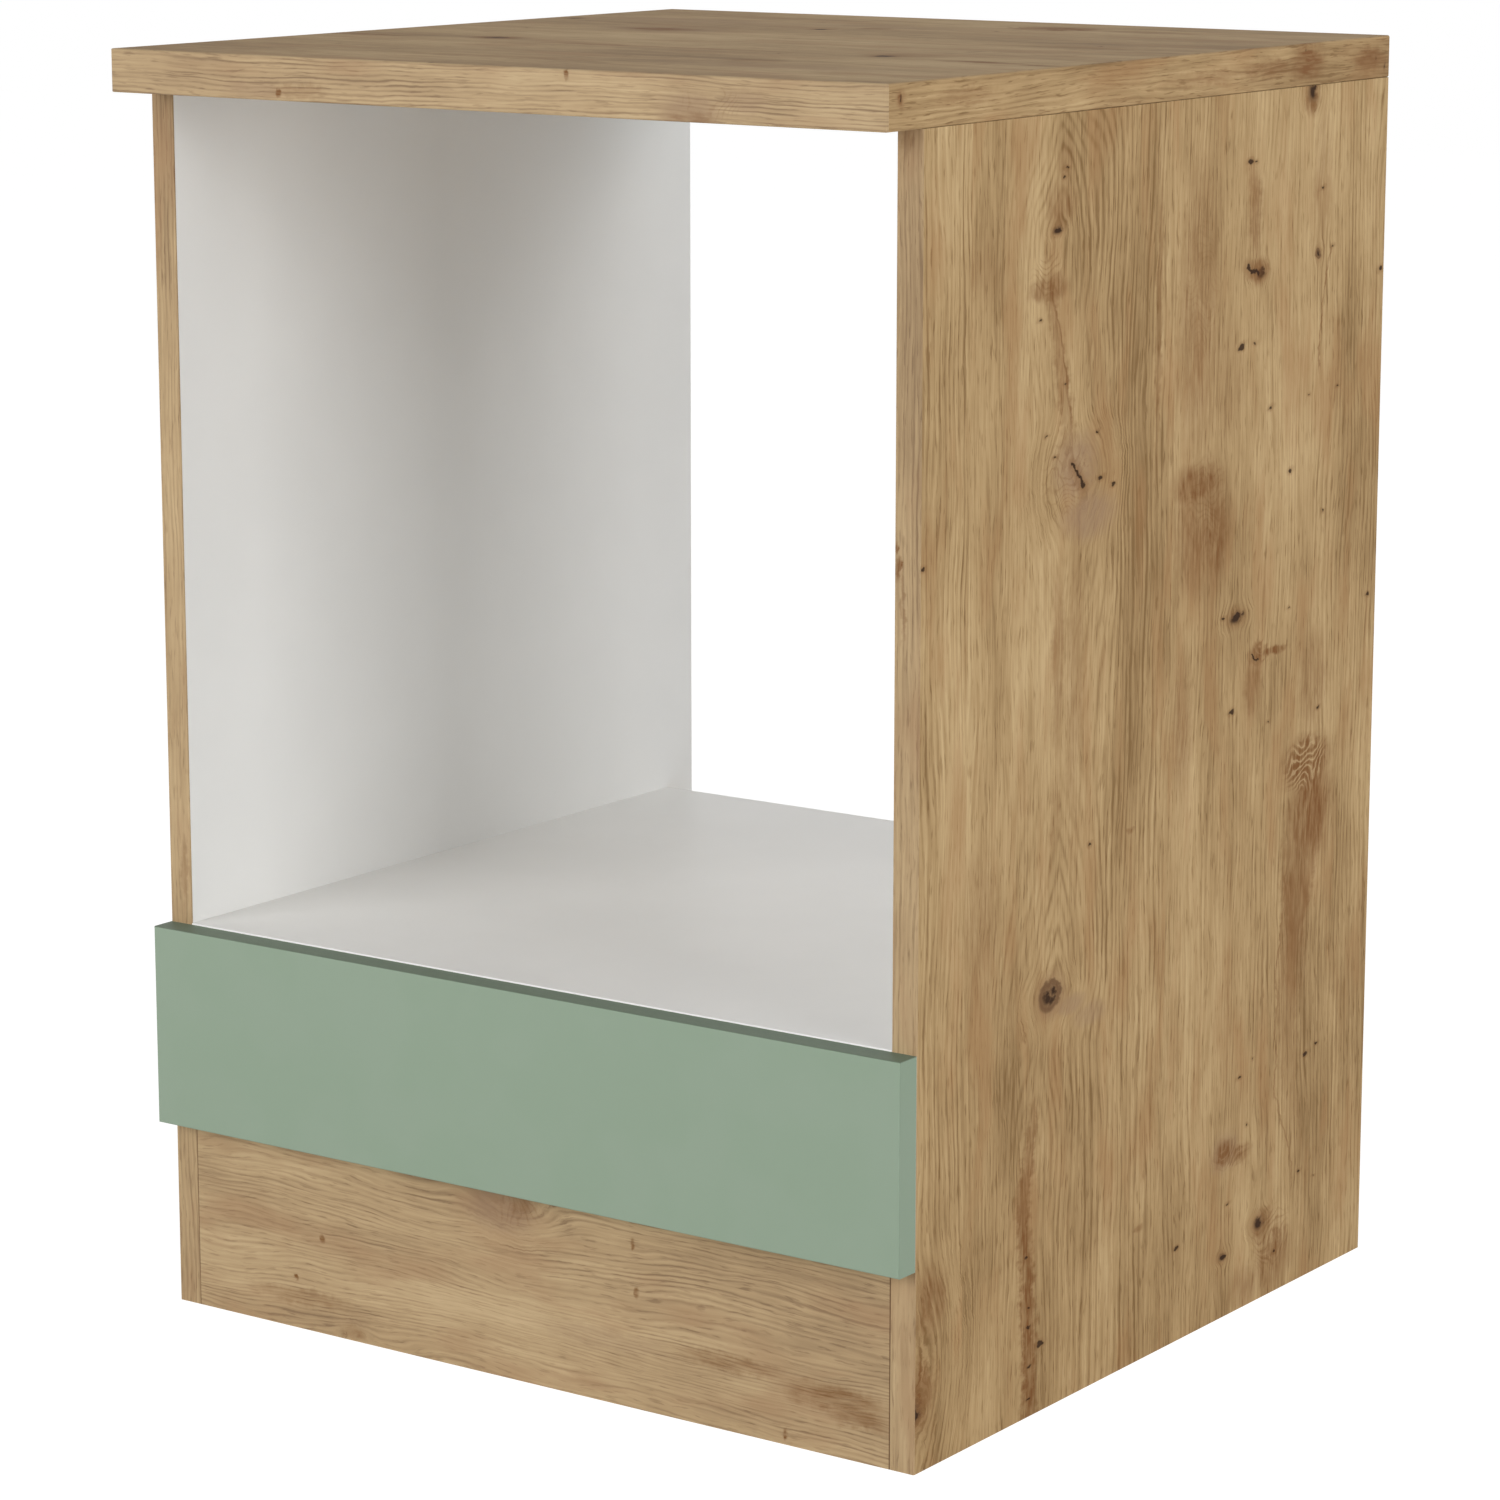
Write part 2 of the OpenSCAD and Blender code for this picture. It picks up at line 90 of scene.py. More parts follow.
class Finish:
    """One material and the nodes that make it."""

    def __init__(self, name):
        self.material = bpy.data.materials.new(name)
        self.material.use_nodes = True
        self.tree = self.material.node_tree
        self.tree.nodes.clear()

    def node(self, kind, settings=None, inputs=None, output=0):
        """Any node: its settings are set first, then the values or links of its sockets."""
        made = self.tree.nodes.new(kind)
        for name, value in (settings or {}).items():
            if name == "stops":
                stops = made.color_ramp.elements
                while len(stops) < len(value):
                    stops.new(0.5)
                for stop, (place, colour) in zip(stops, value):
                    stop.position, stop.color = place, colour
            else:
                setattr(made, name, value)
        for name, value in (inputs or {}).items():
            if isinstance(value, Value):
                self.tree.links.new(value.socket, made.inputs[name])
            else:
                made.inputs[name].default_value = value
        return Value(self, made.outputs[output] if made.outputs else None)

    def math(self, operation, *numbers):
        return self.node("ShaderNodeMath", {"operation": operation}, dict(enumerate(numbers)))

    def vector(self, operation, *inputs, output=0):
        return self.node("ShaderNodeVectorMath", {"operation": operation},
                         dict(enumerate(inputs)), output)

    def blend(self, share, under, over):
        """A colour: under, with a share of over on it."""
        return self.node("ShaderNodeMix", {"data_type": "RGBA"},
                         {0: share, 6: under, 7: over}, 2)

    def place(self):
        """Where a point lies on the cabinet, in mm."""
        coordinates = self.node("ShaderNodeTexCoord", output="Object")
        scaled = self.node("ShaderNodeVectorMath", {"operation": "SCALE"},
                           {0: coordinates, "Scale": MM_PER_METRE})
        parts = self.node("ShaderNodeSeparateXYZ", inputs={0: scaled})
        return scaled, *(Value(self, out) for out in parts.socket.node.outputs)

    def follow(self, place, stations):
        """Numbers that change smoothly along a line. Each station is a place and its numbers."""
        first, last = stations[0][0], stations[-1][0]
        columns = list(zip(*stations))[1:]
        spans = [(min(column), max(max(column) - min(column), 1e-6)) for column in columns]
        stops = []
        for station in stations:
            shares = [(number - low) / span for number, (low, span) in zip(station[1:], spans)]
            stops.append(((station[0] - first) / (last - first), (*shares, *(4 - len(shares)) * [1.0])))
        ramp = self.node("ShaderNodeValToRGB", {"stops": stops},
                         {0: (place - first) / (last - first)})
        parts = self.node("ShaderNodeSeparateColor", inputs={0: ramp}).socket.node.outputs
        return [Value(self, part) * span + low for part, (low, span) in zip(parts, spans)]

    def noise(self, s, t, along, across, detail, seed):
        """Soft noise around 0, stretched along the grain. along and across are its sizes in mm."""
        spot = self.node("ShaderNodeCombineXYZ", inputs={0: s / along + seed, 1: t / across - seed})
        return self.node("ShaderNodeTexNoise", {"noise_dimensions": "2D"},
                         {"Vector": spot, "Scale": 1.0, "Detail": detail}) - 0.5

    def surface(self, colour, roughness, height, height_mm, strength, **constants):
        """The shader itself. The constants go on its own sockets."""
        bump = self.node("ShaderNodeBump", None, {
            "Height": height, "Distance": height_mm / MM_PER_METRE, "Strength": strength})
        inputs = {"Base Color": colour, "Roughness": roughness, "Normal": bump}
        inputs |= {name.replace("_", " "): value for name, value in constants.items()}
        shader = self.node("ShaderNodeBsdfPrincipled", None, inputs)
        self.node("ShaderNodeOutputMaterial", None, {"Surface": shader})
        return self.material


# Oak decor

OAK_LIGHT = paint(203, 176, 133)
OAK_MID = paint(175, 146, 104)
OAK_DARK = paint(129, 100, 63)
OAK_RED = paint(156, 115, 74)
OAK_BROWN = paint(120, 80, 43)
OAK_GREY = paint(150, 122, 96)
OAK_PAINTED_SHEEN = paint(190, 176, 160)
KNOT_RING = paint(96, 68, 44)
KNOT_CORE = paint(44, 24, 6)

PLANK_OFFSET = 977.0    # how far the print moves along the grain from plank to plank, mm
BOW = 1.4               # how round the rings bend round a cathedral's line
SWIRL_RING = 6.5        # width of one ring where the grain has gone wild, mm


@dataclass
class Figure:
    """What one oak face shows. s is the place along the grain, t across it, both in mm."""
    seed: float
    ring: float = 5.5           # width of one growth ring
    wander: float = 22.0        # how far the grain sways
    contrast: float = 0.50      # how dark the rings are
    tone: float = 0.42          # how dark the face is as a whole
    pale: float = 0.0           # share of a painted whitish sheen, standing in for the lamps' reflection
    joints: tuple = ()          # where two planks meet: t
    heart: tuple = ()           # the cathedral's line: s, t, its depth below the face, clearness
    clarity: tuple = ()         # how clear the rings are: t, share
    knots: tuple = ()           # s, t, half length, half width, share of black, or 0 for a bend only
    patches: tuple = ()         # brown patches: s, t, half length, half width, share
    hazes: tuple = ()           # grey patches, likewise
    swirls: tuple = ()          # grain gone wild, likewise
    streaks: tuple = ()         # lists of s, t, half width, share along a brown streak
    lines: tuple = ()           # likewise, for thin dark lines
    cracks: tuple = ()          # from s, t to s, t, and half width
    specks: tuple = ()          # s, t, half width


def smallest(values):
    """The lowest of some numbers that change over a surface."""
    values = list(values)
    result = values[0]
    for value in values[1:]:
        result = result.math("MINIMUM", value)
    return result


def largest(values):
    """The highest of them."""
    values = list(values)
    result = values[0]
    for value in values[1:]:
        result = result.math("MAXIMUM", value)
    return result


def away(f, spot, s0, t0, along, across):
    """The place seen from s0, t0, and how far it is, both in half lengths and half widths."""
    local = f.vector("MULTIPLY_ADD", spot, (1 / along, 1 / across, 0.0),
                     (-s0 / along, -t0 / across, 0.0))
    return local, f.vector("LENGTH", local, output="Value")


def from_line(f, spot, s0, t0, s1, t1):
    """Distance in mm from the line between two points."""
    run = Vector((s1 - s0, t1 - t0, 0.0))
    start = f.vector("SUBTRACT", spot, (s0, t0, 0.0))
    share = f.vector("DOT_PRODUCT", start, tuple(run / run.length_squared), output="Value")
    share = share.math("MINIMUM", 1.0).math("MAXIMUM", 0.0)
    foot = f.node("ShaderNodeCombineXYZ", inputs={0: share * run.x, 1: share * run.y})
    return f.vector("DISTANCE", start, foot, output="Value")


def patch_cover(f, spot, patches, edge=0.35):
    """How much of a point the patches cover, soft at their edges."""
    return largest(away(f, spot, s, t, along, across)[1].below(edge, 1.2) * share
                   for s, t, along, across, share in patches)


def streak_cover(f, s, t, stations, soft):
    """How much of a point a streak covers that follows its stations."""
    middle, width, share = f.follow(s, stations)
    return (abs(t - middle) - width).below(-soft, soft) * share


def oak_rings(f, s, t, shift, spot, figure):
    """How dark the growth rings are, 0 between them, and the bent place across them."""
    seed = figure.seed
    sway = f.noise(shift, t, 240, 55, 2, seed) * figure.wander
    wobble = f.noise(shift, t, 26, 8, 3, seed + 5)
    bent = t + sway + wobble * 2.0
    near = 0.0
    for s0, t0, along, across, black in figure.knots:
        local, distance = away(f, spot, s0, t0, along, across)
        side = f.node("ShaderNodeSeparateXYZ", inputs={0: local}, output=1)
        bent = bent - distance.below(0.3, 3.6) * side * (across * 0.8)
        if not black:
            near = distance.below(0.2, 2.8) * 1.6 + near
    turn = bent / figure.ring
    if figure.heart:
        centre, depth, clear = f.follow(s, figure.heart)
        mean = sum(station[1] for station in figure.heart) / len(figure.heart)
        from_heart = bent - mean
        near_heart = abs(from_heart).below(12.0, 105.0)
        from_heart = from_heart - (centre - mean) * near_heart
        heart_turn = (abs(from_heart) ** BOW + (depth * near_heart) ** BOW) ** (1 / BOW)
        heart_turn = ((heart_turn / figure.ring) ** 2.0 + 6.0).math("SQRT")
        if figure.joints:
            inside = t.math("GREATER_THAN", figure.joints[0])
            inside = inside * t.math("LESS_THAN", figure.joints[1])
            turn = turn + (heart_turn - turn) * inside
            near_heart = near_heart * inside
        else:
            turn = heart_turn
    turn = turn - near + f.noise(shift, t, 40, 5, 2, seed + 2) * 0.28
    cell = (turn + 0.5).math("FLOOR")
    own = f.node("ShaderNodeTexWhiteNoise", {"noise_dimensions": "1D"}, {"W": cell + seed})
    wave = (turn * (2 * math.pi)).math("COSINE") * 0.5 + 0.5
    ring = (wave ** 2.2) * (own * 0.6 + 0.4)
    broken = f.noise(shift, t, 60, 6, 3, seed + 3).above(-0.20, 0.12)
    zone = f.noise(shift, t, 150, 30, 1, seed + 4).above(-0.20, 0.12)
    ring = ring * (broken * 0.6 + 0.4) * (zone * 0.5 + 0.5)
    if figure.clarity:
        ring = ring * f.follow(t, figure.clarity)[0]
    if figure.heart:
        ring = ring * (1.0 - near_heart + near_heart * clear)
    return ring, bent


def oak(f, s, t, figure):
    """Knotty oak decor, as a colour and a relief."""
    seed = figure.seed
    plank = 0.0
    for joint in figure.joints:
        plank = t.math("GREATER_THAN", joint) + plank
    shift = s + plank * PLANK_OFFSET if figure.joints else s
    ragged = f.noise(s, t, 5, 7, 3, seed + 9)
    drift = f.noise(s, t, 22, 26, 2, seed + 13)
    spot = f.node("ShaderNodeCombineXYZ", inputs={0: s + ragged * 4.0 + drift * 5.0,
                                                   1: t + ragged * 6.0 + drift * 7.0})
    ring, bent = oak_rings(f, s, t, shift, spot, figure)

    # Fibres, dashes and the slow change of tone
    fibre = f.noise(shift, bent, 62, 1.7, 3, seed + 6)
    dashes = f.noise(shift, bent, 18, 1.4, 2, seed + 7).above(0.08, 0.24)
    tone = f.noise(shift, t, 210, 34, 3, seed + 1)
    wide = f.noise(s, t, 330, 110, 2, seed + 15)
    mottle = f.noise(shift, t, 36, 17, 4, seed + 10)
    shade = ring * figure.contrast - fibre * 0.66 + dashes * 0.32
    shade = shade + tone * 0.60 + mottle * 0.32 + wide * 0.9
    colour = f.node("ShaderNodeValToRGB", {"stops": [
        (0.00, OAK_LIGHT), (0.50, OAK_MID), (1.00, OAK_DARK)]}, {0: shade + figure.tone})
    warm = f.noise(shift, t, 110, 30, 4, seed + 11).above(-0.02, 0.24)
    colour = f.blend(warm * 0.42, colour, OAK_RED)
    # Painted sheen: a whitish grey laid over the decor in place of the lamps' reflection
    colour = f.blend(figure.pale, colour, OAK_PAINTED_SHEEN)

    # Patches and streaks, torn along the grain
    torn = f.noise(shift, bent, 15, 1.8, 4, seed + 12).above(-0.22, 0.18)
    blotchy = f.noise(s, t, 24, 6, 4, seed + 16).above(-0.26, 0.20) * 0.5 + 0.5
    if figure.hazes:
        cover = patch_cover(f, spot, figure.hazes)
        colour = f.blend(cover * (torn * 0.35 + 0.65), colour, OAK_GREY)
    if figure.patches:
        cover = patch_cover(f, spot, figure.patches) * blotchy
        colour = f.blend(cover * (torn * 0.6 + 0.75), colour, OAK_BROWN)
    for stations in figure.streaks:
        cover = streak_cover(f, s, t + ragged * 14.0 + drift * 8.0, stations, 5.0) * blotchy
        colour = f.blend(cover * (torn * 0.5 + 0.7), colour, OAK_BROWN)
    if figure.swirls:
        cover = patch_cover(f, spot, figure.swirls, 0.5)
        folded = s + f.noise(s, t, 44, 30, 1, seed + 14) * 56.0 + ragged * 5.0
        swirl = (folded * (2 * math.pi / SWIRL_RING)).math("SINE") * cover
        colour = f.blend(swirl.above(0.0, 1.0) * (torn * 0.5 + 0.35), colour, OAK_BROWN)
        colour = f.blend((swirl * -1.0).above(0.35, 1.0) * 0.45, colour, OAK_LIGHT)
    for stations in figure.lines:
        cover = streak_cover(f, s, t + ragged * 4.0 + drift * 8.0, stations, 1.1)
        colour = f.blend(cover * (torn * 0.4 + 0.6), colour, OAK_BROWN)

    # Knots: a brown surround, rings of their own and a black core
    relief = ring * -0.4 + fibre * 0.6
    reached = [(away(f, spot, s0, t0, along, across)[1], black)
               for s0, t0, along, across, black in figure.knots if black]
    if reached:
        lumps = smallest(distance for distance, _ in reached) + ragged * 0.6
        colour = f.blend(lumps.below(0.6, 2.6) * 0.42, colour, OAK_BROWN)
        for distance, black in reached:
            lump = distance + ragged * 0.6
            if black < 0.8:
                rim = lump.above(0.60, 0.90) * lump.below(1.0, 1.25)
                colour = f.blend(rim * 0.62, colour, KNOT_RING)
            colour = f.blend(lump.below(0.7, 1.3) * 0.55, colour, KNOT_RING)
            core = (distance + ragged * 1.2).below(black - 0.45, black)
            colour = f.blend(core * 0.95, colour, KNOT_CORE)
            relief = relief - core * 1.5
    if figure.cracks:
        crack = smallest(from_line(f, spot, s0, t0, s1, t1) - width
                         for s0, t0, s1, t1, width in figure.cracks)
        colour = f.blend(crack.below(0.0, 7.0) * 0.50, colour, OAK_BROWN)
        colour = f.blend(crack.below(-0.5, 0.6) * 0.95, colour, KNOT_CORE)
    if figure.specks:
        doubled = f.vector("MULTIPLY", spot, (2.0, 1.0, 0.0))
        reach = smallest(f.vector("DISTANCE", doubled, (2 * s0, t0, 0.0), output="Value") - size
                         for s0, t0, size in figure.specks)
        colour = f.blend(reach.below(-0.4, 4.0) * 0.34, colour, OAK_BROWN)
        colour = f.blend(reach.below(-1.4, 0.3) * 0.92, colour, KNOT_CORE)
    return colour, relief


def scatter(seed, s_range, t_range, count, low=1.4, high=3.2):
    """Small dark specks at places that the seed settles."""
    pick = random.Random(seed)
    return tuple((pick.uniform(*s_range), pick.uniform(*t_range), pick.uniform(low, high))
                 for _ in range(count))


RIGHT_SIDE = Figure(
    seed=3.1,
    contrast=0.54,
    tone=0.48,
    joints=(-213, 27),
    heart=((-10, -134, 3, 0.5), (168, -133, 4, 0.8), (190, -131, 10, 1.0), (212, -130, 18, 1.0),
           (232, -128, 24, 0.7), (246, -122, 26, 0.1), (264, -116, 8, 0.1), (274, -112, 4, 0.6),
           (290, -109, 9, 0.9), (310, -107, 16, 0.9), (345, -106, 28, 0.7), (380, -109, 38, 0.4),
           (412, -111, 46, 0.2), (440, -108, 48, 0.15), (500, -106, 40, 0.15), (560, -104, 10, 0.3),
           (590, -100, 6, 0.8), (640, -102, 4, 0.4), (700, -118, 4, 0.4), (746, -113, 4, 0.9),
           (758, -113, 8, 1.0), (772, -110, 15, 1.0), (796, -107, 27, 0.8), (820, -112, 38, 0.7),
           (834, -114, 44, 0.7)),
    clarity=((-268, 1.0), (-216, 1.0), (-212, 0.45), (-155, 0.6), (-125, 1.0), (-90, 0.95),
             (-20, 1.15), (24, 1.15), (29, 0.45), (180, 0.55), (230, 0.8), (304, 0.7)),
    knots=((752, -116, 2.8, 5.0, 0.9), (598, -90, 15, 20, 0), (271.5, -115, 8.5, 12.0, 0.74),
           (480, 112, 4.2, 8.5, 0.9), (55, 160, 5.0, 8.0, 0.85), (43, 111, 3.2, 5.2, 0.9),
           (818, 199, 7, 7, 0.8), (40, -264, 7, 6, 0.85), (704, 134, 3.8, 6.0, 0.9),
           (711, 212, 3.6, 3.4, 0.75), (66, -272, 30, 24, 0)),
    patches=((544, 66, 52, 42, 0.56), (575, 60, 16, 38, 0.84), (562, 62, 24, 30, 0.55),
             (536, 84, 38, 16, 0.75), (690, 56, 110, 30, 0.42), (424, 218, 40, 22, 0.40),
             (270, 204, 80, 22, 0.38),
             (366, 212, 22, 38, 0.90), (334, 220, 42, 36, 0.84), (717, -125, 9, 25, 0.72),
             (420, 44, 60, 14, 0.36), (470, -90, 110, 12, 0.30), (330, -196, 60, 24, 0.30),
             (760, 216, 60, 14, 0.26),
             (768, -112, 16, 20, 0.55), (790, -106, 22, 12, 0.35), (116, 110, 11, 15, 0.95),
             (111, 130, 8, 20, 0.65), (50, 166, 16, 18, 0.55), (26, 180, 28, 30, 0.60),
             (14, 140, 18, 26, 0.40), (812, 200, 13, 12, 0.6),
             (740, 128, 36, 9, 0.45), (706, 132, 10, 17, 0.6), (453, 141, 8, 8, 0.95),
             (451, 164, 3.4, 20, 0.9), (428, 136, 26, 13, 0.55), (663, 60, 16, 5, 0.6),
             (50, -260, 30, 16, 0.75), (108, -250, 26, 24, 0.60),
             (735, -196, 24, 22, 0.22), (480, -110, 66, 9, 0.40), (390, -111, 30, 7, 0.35),
             (690, 6, 110, 5, 0.40), (640, 95, 40, 24, 0.22), (90, -2, 3, 7, 0.5),
             (361, -20, 2.4, 7, 0.55)),
    hazes=((604, -92, 24, 30, 0.75), (572, -76, 18, 36, 0.70), (116, 112, 16, 22, 0.55),
           (261, -90, 8, 22, 0.55), (250, -66, 9, 24, 0.45), (271, -112, 16, 20, 0.45)),
    swirls=((366, 210, 22, 34, 1.0), (600, -104, 30, 34, 0.45), (40, 176, 26, 30, 0.6),
            (58, -250, 30, 20, 0.25), (452, 146, 12, 16, 0.6), (560, 70, 40, 30, 0.45),
            (112, 120, 12, 26, 0.6), (700, 60, 60, 26, 0.3),
            (724, -126, 16, 24, 0.5)),
    streaks=(((-10, -134, 8, 0.9), (40, -133, 7, 1.0), (66, -136, 9, 0.9), (90, -138, 7, 1.0),
              (122, -142, 8, 0.95), (150, -143, 8, 0.7), (178, -136, 7, 0.75), (206, -132, 4, 0.4),
              (214, -131, 1, 0.0), (612, -96, 9, 0.0), (630, -101, 8, 0.55), (670, -112, 7, 0.50),
              (708, -122, 5, 0.55), (720, -123, 4, 0.0)),
             ((60, 206, 14, 0.0), (120, 203, 11, 0.20), (200, 192, 14, 0.36), (260, 199, 16, 0.46),
              (306, 206, 26, 0.52), (345, 212, 30, 0.0), (720, 124, 8, 0.0), (732, 124, 8, 0.3),
              (778, 122, 4, 0.40), (786, 122, 3, 0.0))),
    lines=(((616, -96, 1, 0.0), (640, -99, 1.2, 0.8), (680, -109, 1.0, 0.8),
            (710, -119, 0.8, 0.8), (716, -121, 0.6, 0.0)),
           ((60, 205, 0.8, 0.0), (86, 204, 0.8, 0.6), (142, 178, 0.9, 0.5), (225, 177, 1.0, 0.55),
            (290, 187, 1.0, 0.6), (312, 192, 0.8, 0.0), (628, 216, 0.7, 0.0),
            (636, 216, 0.8, 0.8), (676, 218, 0.8, 0.8), (712, 229, 0.6, 0.8),
            (718, 231, 0.5, 0.0))),
    cracks=((605, -97.5, 591, -82.5, 1.5),
            (709, 116, 704, 132, 1.2), (452, 134, 447, 141, 0.9)),
    specks=((789, -106, 2.4), (784, -109, 1.8), (697, -137, 1.8), (657, -105, 1.6), (627, -126, 1.6),
            (613, -116, 1.9), (623, -67, 2.4), (594, -62, 3.2), (588, -47, 2.8), (563, -263, 3.0),
            (779, 121, 4.0), (778, 127, 2.0), (754, 216, 2.0), (714, 231, 1.6), (693, 299, 3.0),
            (658, 112, 4.2), (659, 129, 2.4), (615, 153, 2.3), (618, 204, 1.5), (619, 242, 1.8),
            (569, 180, 3.0), (536, 225, 2.1), (471, 294, 3.0), (476, 182, 1.6), (482, 95, 2.6),
            (417, 108, 4.0), (403, 158, 1.8), (402, 226, 2.2), (360, -70, 2.4), (163, 128, 2.4),
            (173, 146, 1.3), (160, 219, 3.3), (165, 235, 2.6), (129, 141, 1.7), (79, 117, 1.8),
            (78, 214, 2.3), (70, 236, 1.5), (65, 49, 3.0), (28, 181, 2.2), (60, -135, 3.2),
            (45, -121, 5.2), (72, -136, 2.2), (34, -133, 2.4), (12, -134, 2.6), (105, -141, 2.4)))

LEFT_SIDE = Figure(
    seed=17.4,
    contrast=0.54,
    tone=0.48,
    ring=5.8,
    joints=(-120, 148),
    heart=((-10, 34, 52, 1.0), (60, 30, 40, 1.2), (120, 26, 14, 1.2), (180, 22, 4, 0.8),
           (330, 16, 6, 0.8), (350, 18, 30, 1.2), (372, 20, 46, 1.2), (470, 14, 50, 0.6),
           (560, 10, 34, 0.6), (610, 14, 6, 1.0), (700, 22, 4, 0.8), (760, 18, 30, 1.2),
           (834, 14, 50, 1.0)),
    clarity=((-268, 0.6), (-122, 0.7), (-118, 1.3), (-20, 1.1), (60, 0.8), (146, 1.2),
             (150, 0.4), (304, 0.6)),
    knots=((604, -214, 5, 9, 0.8), (246, 30, 9, 13, 0.6), (668, 10, 4, 7, 0.9),
           (420, 226, 4, 7, 0.9), (96, -186, 5, 7, 0.8)),
    patches=((470, -210, 60, 18, 0.45), (560, 90, 34, 30, 0.50), (130, 210, 60, 14, 0.45),
             (700, -60, 50, 12, 0.35), (604, -205, 16, 18, 0.5)),
    hazes=((226, 36, 20, 28, 0.6), (640, 22, 20, 24, 0.4)),
    swirls=((400, 224, 24, 26, 0.9), (246, 30, 24, 28, 0.5)),
    streaks=(((70, -188, 2, 0.0), (110, -186, 7, 0.6), (200, -178, 8, 0.4), (260, -180, 3, 0.0)),),
    cracks=((252, 24, 240, 36, 0.9),),
    specks=scatter(41, (20, 800), (-255, 295), 30))

WORKTOP_FACE = Figure(
    seed=8.6,
    ring=4.4,
    wander=30.0,
    contrast=0.48,
    tone=0.46,
    pale=0.12,
    joints=(-168, 60),
    heart=((-310, -60, 40, 1.0), (-200, -56, 10, 0.6), (-100, -60, 4, 0.3), (20, -64, 16, 0.7),
           (120, -60, 28, 0.6), (310, -56, 40, 0.6)),
    clarity=((-306, 1.0), (-170, 1.0), (-100, 1.1), (0, 1.1), (60, 0.6), (180, 0.8), (304, 1.0)),
    knots=((153, -87, 8, 8, 0.9), (92, 232, 14, 12, 0), (-52, 140, 6, 6, 0.8),
           (-172, -65, 8, 8, 0.7), (-278, 160, 5, 6, 0.8)),
    patches=((-144, 79, 36, 20, 0.80), (80, 238, 40, 26, 0.90), (150, 236, 50, 14, 0.50),
             (237, -104, 36, 9, 0.80), (284, -112, 16, 7, 0.90), (-270, -84, 44, 9, 0.70),
             (-172, -65, 26, 18, 0.70), (-60, -90, 60, 7, 0.45), (160, -74, 34, 22, 0.45),
             (112, -168, 26, 14, 0.50), (-25, 170, 16, 12, 0.60), (40, 40, 120, 9, 0.30),
             (200, 60, 70, 12, 0.30), (-60, -230, 110, 12, 0.30), (0, -88, 120, 6, 0.40)),
    hazes=((-200, 180, 110, 34, 0.40), (150, -210, 120, 26, 0.35), (-40, 190, 90, 22, 0.30),
           (-144, 79, 60, 30, 0.50)),
    swirls=((60, 240, 46, 22, 0.6), (-140, 86, 26, 16, 0.4)),
    specks=((-39, -299, 3.0), (-216, -174, 2.2), (81, -102, 2.2), (20, -180, 1.8),
            (210, 80, 2.2), (-230, 40, 2.2), (60, 190, 2.0)))

WORKTOP_FRONT = Figure(
    seed=12.2,
    ring=2.9,
    wander=14.0,
    contrast=0.64,
    tone=0.38,
    pale=0.16,
    hazes=((160, 829, 26, 12, 0.65), (200, 836, 20, 8, 0.4), (-180, 828, 30, 7, 0.4)),
    patches=((160, 824, 24, 5, 0.40), (-158, 828, 2.5, 4, 0.9), (68, 846, 2.5, 4, 1.0),
             (-140, 829, 24, 5, 0.35)),
    swirls=((176, 834, 26, 12, 0.35),))

WORKTOP_SIDE = Figure(
    seed=21.9,
    ring=4.0,
    wander=18.0,
    tone=0.71,
    clarity=((820, 0.7), (852, 0.7)),
    patches=((192, 838, 26, 14, 0.95), (140, 836, 40, 8, 0.55), (276, 836, 26, 10, 0.70),
             (-220, 838, 40, 7, 0.35), (60, 834, 60, 6, 0.35), (-291, 840, 3, 4, 0.9)),
    cracks=((-291, 838, -290, 842, 0.5),),
    specks=((285, 835, 1.6), (298, 830, 1.6), (189, 846, 1.4)))

PLINTH_FACE = Figure(
    seed=5.7,
    ring=3.1,
    wander=26.0,
    contrast=0.54,
    tone=0.39,
    pale=0.16,
    heart=((-310, 170, 20, 1.0), (-60, 160, 20, 1.0), (-6, 150, 34, 1.2), (60, 160, 20, 1.0),
           (310, 168, 20, 1.0)),
    knots=((-6, 128, 16, 12, 0), (-147, 2, 7, 4, 0)),
    hazes=((-22, 114, 34, 18, 0.8), (60, 42, 60, 9, 0.3)),
    patches=((242, 38, 44, 10, 0.60), (262, 28, 26, 8, 0.6), (161, 45, 44, 7, 0.45),
             (-190, 22, 50, 6, 0.35), (-147, 5, 12, 6, 0.5), (-4, 118, 10, 8, 0.4),
             (-173, 65, 3, 4, 0.9), (-196, 35, 2.5, 3.5, 1.0), (86, 110, 2.5, 4, 1.0),
             (88, 77, 2.5, 4, 1.0), (203, 6, 2.5, 3.5, 1.0)),
    swirls=((-8, 116, 26, 14, 0.4),))

RIGHT_EDGE = Figure(
    seed=31.3,
    ring=3.6,
    wander=12.0,
    contrast=0.42,
    pale=0.12,
    patches=((562, 284, 8, 3, 0.9), (574, 283, 4, 2, 0.9), (540, 288, 26, 2, 0.45),
             (815, 288, 12, 4, 0.4)))

LEFT_EDGE = replace(RIGHT_EDGE, seed=37.7, patches=((300, -287, 26, 4, 0.35),))


# Boards, strips, lacquer and fittings

def chipboard(f, x, y, z):
    """Raw chipboard, as a colour and a relief: pale and dark chips pressed together."""
    spot = f.node("ShaderNodeCombineXYZ", inputs={0: x / 2.2, 1: y / 2.2, 2: z / 2.2})
    chips = f.node("ShaderNodeTexVoronoi", {"feature": "F1"},
                   {"Vector": spot, "Scale": 1.0}, "Color")
    own = f.node("ShaderNodeSeparateColor", inputs={0: chips})
    edge = f.node("ShaderNodeTexVoronoi", {"feature": "F1"}, {"Vector": spot, "Scale": 1.0})
    colour = f.node("ShaderNodeValToRGB", {"stops": [
        (0.0, paint(132, 102, 70)), (0.35, paint(176, 146, 106)), (0.75, paint(203, 178, 138)),
        (1.0, paint(222, 202, 168))]}, {0: own})
    colour = f.blend(edge.above(0.35, 0.8) * 0.5, colour, paint(118, 90, 62))
    return colour, edge * -0.8


